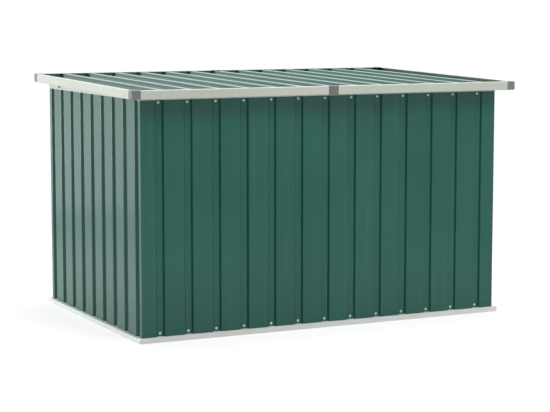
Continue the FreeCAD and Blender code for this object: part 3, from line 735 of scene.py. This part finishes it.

# %% [markdown]
# ### Rails round the walls
#
# The base rail has a ground flange, an outer face, a ledge and an upstand behind the sheet. The top rail is
# a channel turned over the sheet. They could be frames in one piece, but real ones are four strips each.
# The base rails get a lighter copy of the trim's coat, painted light that shows them brighter than the
# lamps do, so they have a finish of their own.

# %% Base rails and top rails
LEDGE = 13.5 * MM
GROUND_FLANGE = 40 * MM
UPSTAND = 32 * MM
TRIM_FACE = FIT + RAIL
TRIM_DROP = 24 * MM
INNER_DROP = 46 * MM
base_section = [
    (GROUND_FLANGE, 0),
    (-LEDGE, 0),
    (-LEDGE, BASE_TOP),
    (FLANGE_NEAR, BASE_TOP),
    (FLANGE_NEAR, BASE_TOP + UPSTAND),
]
top_section = [
    (-TRIM_FACE, WALL_TOP - TRIM_DROP),
    (-TRIM_FACE, WALL_TOP),
    (FLANGE_FAR, WALL_TOP),
    (FLANGE_FAR, WALL_TOP - INNER_DROP),
]
# The base rails take that painted-light copy of the trim's coat.
for side, wall in WALLS.items():
    for kind, section, coat in (("base", base_section, painted_light_base_coat), ("top", top_section, pale_coat)):
        rail = folded_rail(f"folded_{kind}_{side}", section, wall.half, RAIL)
        seat(rail, wall.turn, wall.place)
        smooth(rail)
        dress(rail, coat, "box", f"{kind}_rail_{side}")
print("rails round the walls:", 2 * len(WALLS))

# %% [markdown]
# ### The lid's edge
#
# The lid's edge is a channel that faces inwards and grips the roof sheets. At the front and at the back it
# comes in two halves. Like a wall, a piece of it is modelled as if at the front, turned to its own edge and
# then tilted with the lid. That is three moves where one matrix could do, but each can be checked by
# itself.

# %% Seats on the lid's edge
LID_EDGES = {
    "front": (0, (0, 0, 0)),
    "right": (math.pi / 2, (LID_LENGTH / 2, LID_DEPTH / 2, 0)),
    "back": (math.pi, (0, LID_DEPTH, 0)),
    "left": (-math.pi / 2, (-LID_LENGTH / 2, LID_DEPTH / 2, 0)),
}


def seat_on_lid(piece, edge, slide=0):
    """Turns the piece to one edge of the level lid, then tilts it with the lid."""
    seat(piece, 0, (slide, 0, 0))
    seat(piece, *LID_EDGES[edge])
    seat(piece, 0, LID_SEAT, LID_TILT)
    smooth(piece)


print("edges of the lid:", list(LID_EDGES))

# %% [markdown]
# A grey moulded connector joins the two halves of a long edge. It could be a block set on the rail, but the
# real one has the rail's own section and stands a hair proud in front and on top. So one helper folds both.

# %% Lid rails and connectors
HANDS = {"left": -1, "right": 1}
FACING = {"front": 1, "back": -1}
LIP_TOP = CAP_PROUD + 14 * MM
LIP_BOTTOM = CAP_PROUD + 18 * MM
LID_BEND = 2.2 * MM
CAP = 31 * MM
CONNECTOR = 38 * MM
MOULDED_WALL = 1.7 * MM
CAP_HEIGHT = LID_HEIGHT + CAP_PROUD
rail_section = [(LIP_BOTTOM, 0), (CAP_PROUD, 0), (CAP_PROUD, LID_HEIGHT), (LIP_TOP, LID_HEIGHT)]
clip_section = [(LIP_BOTTOM, 0), (0, 0), (0, CAP_HEIGHT), (LIP_TOP, CAP_HEIGHT)]


def lid_rail(label, edge, half, slide=0):
    rail = folded_rail(f"edge_{label}", rail_section, half, RAIL, LID_BEND, mitred=False)
    seat_on_lid(rail, edge, slide)
    dress(rail, pale_coat, "lid", f"lid_rail_{label}")


long_start = CONNECTOR / 2 + FIT
long_end = LID_LENGTH / 2 - CAP - FIT
for edge, facing in FACING.items():
    for side, hand in HANDS.items():
        slide = facing * hand * (long_start + long_end) / 2
        lid_rail(f"{edge}_{side}", edge, (long_end - long_start) / 2, slide)
    clip = folded_rail(f"joint_{edge}", clip_section, CONNECTOR / 2, MOULDED_WALL, LID_BEND, mitred=False)
    seat_on_lid(clip, edge)
    dress(clip, grey_moulding, "lid", f"lid_connector_{edge}")
for side in HANDS:
    lid_rail(side, side, LID_DEPTH / 2 - CAP - FIT)
print("one half of a long edge is", round(long_end - long_start, 3), "m")

# %% [markdown]
# ### Corner caps
#
# A corner cap is a small grey moulding that closes the ends of two rails and is open towards the lid's
# middle. It could be cut from a solid block with booleans, but a moulding is a shell of even thickness. So
# a cube loses the two faces that look inwards, its edges are rounded, and it then gets its wall.

# %% Corner caps
CAP_BEND = 2.4 * MM
CAP_STEPS = 4


def corner_cap(edge, side):
    hand, facing = HANDS[side], FACING[edge]
    y = LID_DEPTH / 2 - facing * (LID_DEPTH - CAP) / 2
    clear_selection()
    bpy.ops.mesh.primitive_cube_add(size=1)
    cap = edit_new(f"cap_{edge}_{side}")
    bpy.ops.mesh.select_all(action="SELECT")
    bpy.ops.transform.resize(value=(CAP, CAP, CAP_HEIGHT))
    bpy.ops.transform.translate(value=(hand * (LID_LENGTH - CAP) / 2, y, CAP_HEIGHT / 2))
    bpy.ops.mesh.select_mode(type="FACE")
    bpy.ops.mesh.select_all(action="DESELECT")
    mesh = bmesh.from_edit_mesh(cap.data)
    for face in mesh.faces:
        face.select = face.normal.x * hand < -0.5 or face.normal.y * facing > 0.5
    bmesh.update_edit_mesh(cap.data)
    bpy.ops.mesh.delete(type="FACE")
    round_bends(cap, CAP_BEND, CAP_STEPS)
    thicken(cap, MOULDED_WALL)
    seat(cap, 0, LID_SEAT, LID_TILT)
    smooth(cap)
    dress(cap, grey_moulding, "lid", f"lid_cap_{edge}_{side}")
    print(cap.name, len(cap.data.polygons), "faces")


for edge in FACING:
    for side in HANDS:
        corner_cap(edge, side)

# %% [markdown]
# ## Posts and bars
#
# Four galvanised angles stand behind the wall corners and show when the lid is open. The solids' own edges
# could be rounded, but a strip folded once is what a post is, and its bend then catches light as the rails'
# bends do. The path goes round the box clockwise, seen from above, so that each wall of a post lies inside.

# %% Corner posts
POST = 1.5 * MM
POST_BEND = 2.2 * MM
for turn, corner in enumerate(("front_left", "back_left", "back_right", "front_right")):
    low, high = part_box(f"corner_post_{corner}")
    ring = [(low.x, low.y), (low.x, high.y), (high.x, high.y), (high.x, low.y)]
    path = [(*ring[(turn + step) % len(ring)], low.z) for step in (-1, 0, 1)]
    post = fold_strip(f"post_{corner}", path, (0, 0, high.z - low.z))
    round_bends(post, POST_BEND)
    thicken(post, POST)
    smooth(post)
    dress(post, galvanised, "box", f"corner_post_{corner}")
    print(post.name, round(high.z - low.z, 3), "m long")

# %% [markdown]
# Three channels stiffen the lid from below. They could be plain boxes, because mostly their undersides
# show, but their ends are open and seen when the lid is up. The middle one lies under the sheets' lap, so
# its sides end one sheet lower.

# %% Lid bars
BAR_DEPTH = 14 * MM
for name in ("left", "centre", "right"):
    low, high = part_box(f"lid_bar_{name}")
    top = PAN - SHEET if name == "centre" else PAN
    floor = PAN - BAR_DEPTH
    section = [(low.x, top), (low.x, floor), (high.x, floor), (high.x, top)]
    bar = fold_strip(f"channel_{name}", [(x, BAR_START, z) for x, z in section], (0, BAR_END - BAR_START, 0))
    round_bends(bar, POST_BEND)
    thicken(bar, RAIL)
    seat(bar, 0, LID_SEAT, LID_TILT)
    smooth(bar)
    dress(bar, galvanised, "lid", f"lid_bar_{name}")
print("each lid bar is", round(BAR_END - BAR_START, 3), "m long")

# %% [markdown]
# ## Turned pieces
#
# Screws, rivets, bolts and struts are turned or headed. A disc is raised ring by ring, each ring pushed
# along the axis and drawn in or let out, as on a lathe. A spin of a drawn profile would give the same
# shape, but the rings keep the axis exact. A piece with a bore starts as an open ring and comes back to it.
# With six sides the same helper makes a hexagon.

# %% A turned piece
SIDES = 20


def millimetres(*profile):
    return [(radius * MM, height * MM) for radius, height in profile]


def turned(name, profile, sides=SIDES, bored=False):
    """The profile lists (radius, height) from ring to ring; a bored piece comes back to its first ring."""
    radius, height = profile[0]
    rings = profile[1:] + (profile[:1] if bored else [])
    clear_selection()
    fill = "NOTHING" if bored else "NGON"
    bpy.ops.mesh.primitive_circle_add(vertices=sides, radius=radius, fill_type=fill)
    piece = edit_new(name)
    bpy.ops.mesh.select_all(action="SELECT")
    bpy.ops.transform.translate(value=(0, 0, height))
    for next_radius, next_height in rings:
        bpy.ops.mesh.extrude_region_move(TRANSFORM_OT_translate={"value": (0, 0, next_height - height)})
        draw = next_radius / radius
        bpy.ops.transform.resize(value=(draw, draw, 1))
        radius, height = next_radius, next_height
    bpy.ops.mesh.select_all(action="SELECT")
    bpy.ops.mesh.remove_doubles(threshold=NEAR)
    bpy.ops.mesh.normals_make_consistent(inside=False)
    bpy.ops.object.mode_set(mode="OBJECT")
    return piece


print("a turned piece has", SIDES, "sides where no other number is given")

# %% [markdown]
# What repeats is modelled once and copied. Copies could share one mesh, but then each one's place would
# stay on its object, and the pattern of the finish would repeat. So every copy has its own mesh, and those
# that belong to one node are joined.

# %% Copies
def copied(master, places):
    """One copy with its own mesh for each place; the master goes."""
    copies = []
    for place in places:
        copy = master.copy()
        copy.data = master.data.copy()
        bpy.context.scene.collection.objects.link(copy)
        copies.append(put(copy, place))
    bpy.data.objects.remove(master)
    return copies


def joined(name, pieces):
    clear_selection()
    for piece in pieces:
        piece.select_set(True)
    bpy.context.view_layer.objects.active = pieces[0]
    bpy.ops.object.join()
    whole = bpy.context.object
    whole.name = name
    whole.data.name = name
    return whole


# %% [markdown]
# ### Wall screws
#
# A flanged pan-head screw sits in every groove, once near the foot and once under the lid. It could be a
# plain button at this size, but a dome and a drive recess catch the light in a close view. One screw is
# turned and copied into the grooves, each copy turned a little further, because driven screws never all end
# at one angle.

# %% Wall screws
SCREW = millimetres(
    (4.8, 0), (4.8, 0.7),  # flange
    (3.4, 1), (3.4, 2.6),  # head
    (3.15, 3.3), (2.7, 3.6),  # dome
    (2.2, 3.6), (1.9, 1.7),  # drive recess
)
SCREW_ROWS = (BASE_TOP + 10 * MM, WALL_TOP - 31.5 * MM)
SCREW_TURN = 1.3
HEAD_SHADING = 50
face_front = Matrix.Rotation(math.pi / 2, 4, "X")
for side, wall in WALLS.items():
    places = []
    for number in range(wall.grooves):
        x = (number - (wall.grooves - 1) / 2) * PITCH
        spin = Matrix.Rotation(number * SCREW_TURN, 4, "Z")
        places += [Matrix.Translation((x, GROOVE_DEPTH, row)) @ face_front @ spin for row in SCREW_ROWS]
    screws = joined(f"screws_{side}", copied(turned("screw", SCREW), places))
    seat(screws, wall.turn, wall.place)
    smooth(screws, HEAD_SHADING)
    dress(screws, screw_zinc, "box", f"wall_screws_{side}")
    print(screws.name, len(places), "screws,", len(screws.data.polygons), "faces")

# %% [markdown]
# ### Hinge rivets
#
# Each hinge leaf is held by two dome-headed rivets. On the wall their heads look backwards, and on the lid
# they look down and tilt with it. Half a sphere would do for the dome, but a pulled rivet has a flat rim
# below it and a dimple on top, so it is turned like the screw.

# %% Hinge rivets
RIVET = millimetres(
    (4, 0), (4, 0.3),  # rim
    (3.6, 0.95), (2.7, 1.4), (1.5, 1.6),  # dome
    (1.1, 1.6), (0.9, 0.9),  # dimple
)
RIVET_SIDES = 16
RIVET_RADIUS = RIVET[0][0]
RIVET_HEIGHT = max(height for radius, height in RIVET)
RIVET_SPACING = 56 * MM
leaf_boxes = [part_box(f"hinge_wall_leaf_{name}") for name in ("left", "centre", "right")]
columns = [(low.x + high.x + hand * RIVET_SPACING) / 2 for low, high in leaf_boxes for hand in (-1, 1)]
low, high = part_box("hinge_rivets_wall")
wall_seat = (high.y - RIVET_HEIGHT, (low.z + high.z) / 2)
low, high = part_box("hinge_rivets_lid")
lid_rise = RIVET_RADIUS * math.sin(LID_TILT) + RIVET_HEIGHT * math.cos(LID_TILT)
lid_seat = ((low.y + high.y) / 2, low.z + lid_rise)
for node, body, (y, z), tilt in (
    ("hinge_rivets_wall", "box", wall_seat, -math.pi / 2),
    ("hinge_rivets_lid", "lid", lid_seat, math.pi + LID_TILT),
):
    places = [Matrix.Translation((x, y, z)) @ Matrix.Rotation(tilt, 4, "X") for x in columns]
    rivets = joined(f"domed_{node}", copied(turned("rivet", RIVET, RIVET_SIDES), places))
    smooth(rivets, HEAD_SHADING)
    dress(rivets, screw_zinc, body, node)
    print(rivets.name, len(columns), "rivets")

# %% [markdown]
# ### Pivot bolts
#
# Each strut swings on a hexagon bolt that goes through the side wall, with its head outside and its nut
# inside. A modelled thread would be truer, but wall, eye and nut hide it. So head, nut and shank are turned
# one by one, with eased corners, and joined. Each bolt is made together with its strut, below.

# %% Pivot bolts
HEX = 6.5 * MM
HEX_HEIGHT = 4 * MM
HEX_SIDES = 6
BOLT = 4 * MM
BOLT_SIDES = 16
EASE = 0.8 * MM
pivots = {joint["child"]: Vector(joint["pos_m"]) for joint in frame["joints"] if "swing" in joint["name"]}


def pivot_bolt(side):
    hand = HANDS[side]
    low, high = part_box(f"strut_bolt_{side}")
    pivot = pivots[f"strut_cylinder_{side}"]
    grip = high.x - low.x - 2 * HEX_HEIGHT
    end = grip + HEX_HEIGHT
    soft = HEX - EASE
    head = turned("head", [(HEX, 0), (HEX, EASE - HEX_HEIGHT), (soft, -HEX_HEIGHT)], HEX_SIDES)
    nut = turned("nut", [(soft, grip), (HEX, grip + EASE), (HEX, end - EASE), (soft, end)], HEX_SIDES)
    shank = turned("bolt_shank", [(BOLT, 0), (BOLT, end + EASE)], BOLT_SIDES)
    bolt = joined(f"hex_bolt_{side}", [head, nut, shank])
    start = low.x + HEX_HEIGHT if hand < 0 else high.x - HEX_HEIGHT
    inwards = Matrix.Rotation(-hand * math.pi / 2, 4, "Y")
    put(bolt, Matrix.Translation((start, pivot.y, pivot.z)) @ inwards)
    smooth(bolt)
    dress(bolt, black_coat, "box", f"strut_bolt_{side}")
    print(bolt.name, "grips", round(grip, 4), "m")


print("pivots:", {name: [round(part, 4) for part in place] for name, place in pivots.items()})

# %% [markdown]
# ### Gas struts
#
# A gas strut is a black tube with a waisted eye and a chromed rod that ends in a socket. The tube's mouth
# is rolled in round the rod, and its bore is real, so that the rod slides without cutting through it. Tube
# and rod could be modelled on the slant, but turned along z they keep round numbers. Both are then laid
# along the slide that the frame gives. First come the discs of eye and socket, which lie across the strut.

# %% Eyes and sockets
STRUT_SIDES = 24
HALF_EYE = 6 * MM
across = Matrix.Rotation(math.pi / 2, 4, "Y")


def disc(name, radius, height, bore=0):
    """A rounded disc across the strut, at a height along it, with a hole if it has a bore."""
    soft = radius - EASE
    flat = HALF_EYE - EASE
    rim = [(soft, -HALF_EYE), (radius, -flat), (radius, flat), (soft, HALF_EYE)]
    if bore:
        rim = [(bore, -HALF_EYE), *rim, (bore, HALF_EYE)]
    piece = turned(name, rim, STRUT_SIDES, bore > 0)
    return put(piece, Matrix.Translation((0, 0, height)) @ across)


print("eyes and sockets are", 2 * HALF_EYE, "m thick")

# %% [markdown]
# The tube's profile goes from the waist over the shoulder to the rolled mouth, and from there down the
# bore. The rod's profile starts deep in that bore. Where mouth and socket lie along the strut could be
# typed in, but read from the solids they always fit.

# %% Tubes and rods
EYE = 10 * MM
SOCKET = 9 * MM
TUBE = 9 * MM
ROD = 4 * MM
RUNNING = 0.2 * MM
NECK = 5.6 * MM
SHOULDER = 2 * EYE
WAIST = 4 * MM
ROLL = 1.2 * MM
PISTON = 30 * MM
BORE_END = PISTON - 5 * MM
slides = {joint["child"]: Vector(joint["axis"]) for joint in frame["joints"] if joint["type"] == "slide"}


def strut(side):
    pivot = pivots[f"strut_cylinder_{side}"]
    way = slides[f"strut_rod_{side}"]
    mouth = (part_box(f"strut_cylinder_{side}")[0].y - pivot.y) / way.y
    reach = (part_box(f"strut_rod_{side}")[0].y + SOCKET - pivot.y) / way.y
    foot = [(NECK, EYE / 2), (NECK, SHOULDER - WAIST), (TUBE - EASE, SHOULDER), (TUBE, SHOULDER + EASE)]
    roll = [(TUBE, mouth - WAIST), (TUBE - EASE, mouth - ROLL), (TUBE - 3 * EASE, mouth), (ROD + EASE, mouth)]
    bore = [(ROD + RUNNING, mouth - EASE), (ROD + RUNNING, BORE_END)]
    eye = disc("eye", EYE, 0, BOLT + RUNNING)
    tube = joined(f"gas_tube_{side}", [turned("tube", foot + roll + bore, STRUT_SIDES), eye])
    collar = reach - 2 * SOCKET
    shank = [(ROD, PISTON), (ROD, collar), (NECK, collar + EASE), (NECK, reach - SOCKET / 2)]
    rod = joined(f"gas_rod_{side}", [turned("shank", shank, STRUT_SIDES), disc("socket", SOCKET, reach)])
    lie = Matrix.Translation(pivot) @ Matrix.Rotation(math.atan2(-way.y, way.z), 4, "X")
    for piece in (tube, rod):
        put(piece, lie)
        smooth(piece)
    dress(tube, black_coat, f"strut_cylinder_{side}", f"strut_cylinder_{side}")
    dress(rod, rod_chrome, f"strut_rod_{side}", f"strut_rod_{side}")
    print("strut", side, "is", round(reach, 4), "m long when closed")


for side in HANDS:
    pivot_bolt(side)
    strut(side)

# %% [markdown]
# ## What stays as the solids are
#
# Hinge leaves, pins, bushes and the struts' brackets already have their real shapes. They could be modelled
# again with softer edges, but they sit in the shade of lid and wall, so they only get their finishes.

# %% Finishes for the solids that show
SOLID_FINISHES = (
    (("strut_lid_bracket",), galvanised),
    (("hinge_wall_leaf", "hinge_lid_leaf"), hinge_zinc),
    (("hinge_pin",), screw_zinc),
    (("strut_bush",), black_moulding),
)
for starts, material in SOLID_FINISHES:
    dressed = [name for name in nodes if name.startswith(starts)]
    for name in dressed:
        nodes[name].data.materials.clear()
        nodes[name].data.materials.append(material)
    print(material.name, "on", len(dressed))

# %% [markdown]
# ## The stage
#
# The photograph has a plain white ground. More light would whiten it too, but it would bleach the box. So
# floor and world look white only to the camera and in reflections, while the light that falls on things
# stays at a plain level. One helper tells the two kinds of rays apart, and another mixes two shaders by its
# answer.

# %% Rays and mixes
def seen_directly(holder):
    """1 for camera, mirror and glass rays, 0 for the light that falls on things."""
    links = holder.node_tree.links
    path = add_node(holder, "ShaderNodeLightPath")
    total = path.outputs["Is Camera Ray"]
    for name in ("Is Glossy Ray", "Is Transmission Ray"):
        larger = add_node(holder, "ShaderNodeMath", operation="MAXIMUM")
        links.new(total, larger.inputs[0])
        links.new(path.outputs[name], larger.inputs[1])
        total = larger.outputs["Value"]
    return total


def mixed(holder, factor, first, second):
    links = holder.node_tree.links
    mix = add_node(holder, "ShaderNodeMixShader")
    links.new(factor, mix.inputs["Fac"])
    links.new(first.outputs[0], mix.inputs[1])
    links.new(second.outputs[0], mix.inputs[2])
    return mix


print("seen directly: camera, glossy and transmission rays")

# %% [markdown]
# The floor still has to show the box's shadow. A shadow catcher would need a compositor, so near the box
# the floor is a dim diffuse surface plus an even glow, and it fades into pure white further out.

# %% Floor
FLOOR_SIZE = 80
BOUNCE = (0.8, 0.8, 0.8, 1)
SHADE = (0.3, 0.3, 0.3, 1)
GLOW = 0.76
FADE = (1.4, 3.2)
clear_selection()
bpy.ops.mesh.primitive_plane_add(size=FLOOR_SIZE)
floor = bpy.context.object
floor.name = "studio_floor"
paper = bpy.data.materials.new("white_floor")
paper.use_nodes = True
paper.node_tree.nodes.clear()
links = paper.node_tree.links
shown = add_node(paper, "ShaderNodeAddShader")
links.new(add_node(paper, "ShaderNodeBsdfDiffuse", Color=SHADE).outputs[0], shown.inputs[0])
links.new(add_node(paper, "ShaderNodeEmission", Strength=GLOW).outputs[0], shown.inputs[1])
place = add_node(paper, "ShaderNodeTexCoord")
distance = add_node(paper, "ShaderNodeVectorMath", operation="LENGTH")
links.new(place.outputs["Object"], distance.inputs[0])
fade = remap(paper, distance.outputs["Value"], 0, 1, FADE, "SMOOTHSTEP")
faded = mixed(paper, fade, shown, add_node(paper, "ShaderNodeEmission"))
bounce = add_node(paper, "ShaderNodeBsdfDiffuse", Color=BOUNCE)
surface = mixed(paper, seen_directly(paper), bounce, faded)
links.new(surface.outputs[0], add_node(paper, "ShaderNodeOutputMaterial").inputs["Surface"])
floor.data.materials.append(paper)
print("the floor fades to white from", FADE[0], "to", FADE[1], "m")

# %% [markdown]
# The world is a white studio: a faint even sky for the light on the box, and plain white for what is seen.
# A sky texture would give livelier reflections, but the photograph's ground is plain.

# %% World
WHITE = (1, 1, 1, 1)
SKY_LEVEL = 0.2
world = bpy.data.worlds.new("white_studio")
bpy.context.scene.world = world
world.use_nodes = True
world.node_tree.nodes.clear()
sky = add_node(world, "ShaderNodeBackground", Color=WHITE, Strength=SKY_LEVEL)
backdrop = add_node(world, "ShaderNodeBackground", Color=WHITE)
studio = mixed(world, seen_directly(world), sky, backdrop)
end = add_node(world, "ShaderNodeOutputWorld")
world.node_tree.links.new(studio.outputs[0], end.inputs["Surface"])
print("sky level", SKY_LEVEL)

# %% [markdown]
# ## Lamps
#
# Five large soft lamps light the box as in a studio: one in front and above for the front wall, one behind
# on the left, one overhead for the roof, a fill for the left wall and a weak board whose sheen shows on
# that wall. One sun lamp would be simpler, but it would throw hard shadows.

# %% Lamps
Lamp = namedtuple("Lamp", "place aim size power")
MIDDLE = (0, 0, 0.45)
LAMPS = {
    "back_key": Lamp((-3.1, 4.0, 4.0), MIDDLE, (2.5, 2.5), 120),
    "front_top": Lamp((1.2, -3.6, 5.0), MIDDLE, (2.6, 2.6), 205),
    "left_fill": Lamp((-4.6, 2.8, 0.7), (-0.7, 0, 0.6), (2.0, 1.2), 132),
    "sheen_board": Lamp((-1.9, 3.2, 0.6), (-0.7, 0, 0.5), (1.6, 1.2), 2.1),
    "overhead": Lamp((0.4, 0.6, 4.6), MIDDLE, (2.6, 2.2), 160),
}


def look_along(holder, direction):
    holder.rotation_mode = "QUATERNION"
    holder.rotation_quaternion = Vector(direction).to_track_quat("-Z", "Y")


for name, lamp in LAMPS.items():
    light = bpy.data.lights.new(name, "AREA")
    light.shape = "RECTANGLE"
    light.size, light.size_y = lamp.size
    light.energy = lamp.power
    holder = bpy.data.objects.new(name, light)
    holder.location = lamp.place
    look_along(holder, Vector(lamp.aim) - Vector(lamp.place))
    bpy.context.scene.collection.objects.link(holder)
print("lamps:", len(LAMPS), "watts:", sum(lamp.power for lamp in LAMPS.values()))

# %% [markdown]
# ## Camera
#
# The camera has the photograph's viewing angle. It could be placed by eye, but the box's own edges say
# more: place, turn and focal length were fitted so that the edges of walls and lid fall near those in the
# photograph. The focal length in pixels becomes a lens for the sensor's width.

# %% Camera
IMAGE_WIDTH = 550
FOCUS_PIXELS = 1731.4
SENSOR = 36
CAMERA_PLACE = (-2.826, -5.743, 1.139)
TURN = math.radians(26.353)
PITCH_DOWN = math.radians(6.758)
camera = bpy.data.objects.new("camera", bpy.data.cameras.new("camera"))
camera.data.sensor_width = SENSOR
camera.data.lens = FOCUS_PIXELS / IMAGE_WIDTH * SENSOR
camera.location = CAMERA_PLACE
level = math.cos(PITCH_DOWN)
look_along(camera, (math.sin(TURN) * level, math.cos(TURN) * level, -math.sin(PITCH_DOWN)))
bpy.context.scene.collection.objects.link(camera)
bpy.context.scene.camera = camera
bpy.context.scene.view_settings.view_transform = "Standard"
print("camera lens", round(camera.data.lens, 1), "mm")
